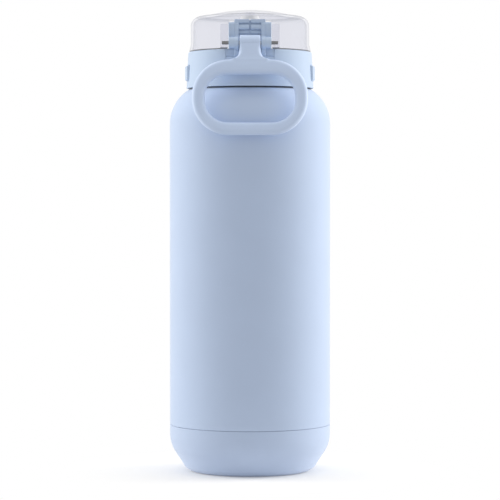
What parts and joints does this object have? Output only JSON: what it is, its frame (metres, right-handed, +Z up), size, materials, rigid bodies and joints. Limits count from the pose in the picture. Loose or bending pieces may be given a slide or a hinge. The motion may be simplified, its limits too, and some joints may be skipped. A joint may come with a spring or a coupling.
{
  "type": "insulated water jug",
  "caption": "Insulated steel water jug with a soft boot, a screw lid, a clear flip cover over a drinking spout and a hinged carry loop.",
  "frame": {"origin": "centre of the round foot, on the surface that the jug stands on", "axes": "+Z up along the bottle's axis, +Y towards the push button, hinge and carry loop on the -Y side"},
  "size_m": [0.096, 0.1039, 0.2757],
  "materials": {
    "powder_coat": "matte powder coat",
    "steel": "brushed",
    "dark_steel": "satin",
    "spring_steel": "bright",
    "silicone_blue": "matte",
    "grip_rubber": "matte",
    "lid_plastic": "satin",
    "loop_plastic": "satin",
    "seal_silicone": "translucent matte",
    "clear_plastic": "clear gloss"
  },
  "bodies": {
    "bottle": {"outer_shell": "powder_coat", "neck_thread": "steel", "inner_liner": "steel", "base_cup": "steel", "vacuum_seal_dot": "dark_steel", "getter_pill": "dark_steel", "boot": "silicone_blue"},
    "lid": {"lid_core": "lid_plastic", "lid_thread": "lid_plastic", "lid_collar": "lid_plastic", "side_grips": "grip_rubber", "lid_gasket": "seal_silicone", "top_deck": "lid_plastic", "spout": "lid_plastic", "spout_gasket": "seal_silicone", "hinge_bracket": "lid_plastic", "hinge_pin": "dark_steel", "cover_springs": "spring_steel", "button_spring": "spring_steel"},
    "cover": {"clear_cover": "clear_plastic", "cover_stopper": "seal_silicone"},
    "loop": {"carry_loop": "loop_plastic"},
    "button": {"push_button": "lid_plastic"},
    "lock": {"lock_slider": "lid_plastic"}
  },
  "joints": [
    {"name": "lid_lift", "type": "slide", "parent": "bottle", "child": "lid", "axis": [0, 0, 1], "range_m": [0, 0.08]},
    {"name": "cover_open", "type": "hinge", "parent": "lid", "child": "cover", "pos_m": [0, -0.037, 0.254], "axis": [1, 0, 0], "range_deg": [0, 115], "deforming": ["cover_springs"]},
    {"name": "loop_swing", "type": "hinge", "parent": "lid", "child": "loop", "pos_m": [0, -0.037, 0.254], "axis": [1, 0, 0], "range_deg": [-145, 0]},
    {"name": "button_press", "type": "slide", "parent": "lid", "child": "button", "axis": [0, -1, 0], "range_m": [0, 0.002], "stiffness_N_per_m": 700, "springref_m": -0.002, "deforming": ["button_spring"]},
    {"name": "lock_slide", "type": "slide", "parent": "lid", "child": "lock", "axis": [0, 0, -1], "range_m": [-0.003, 0]}
  ]
}
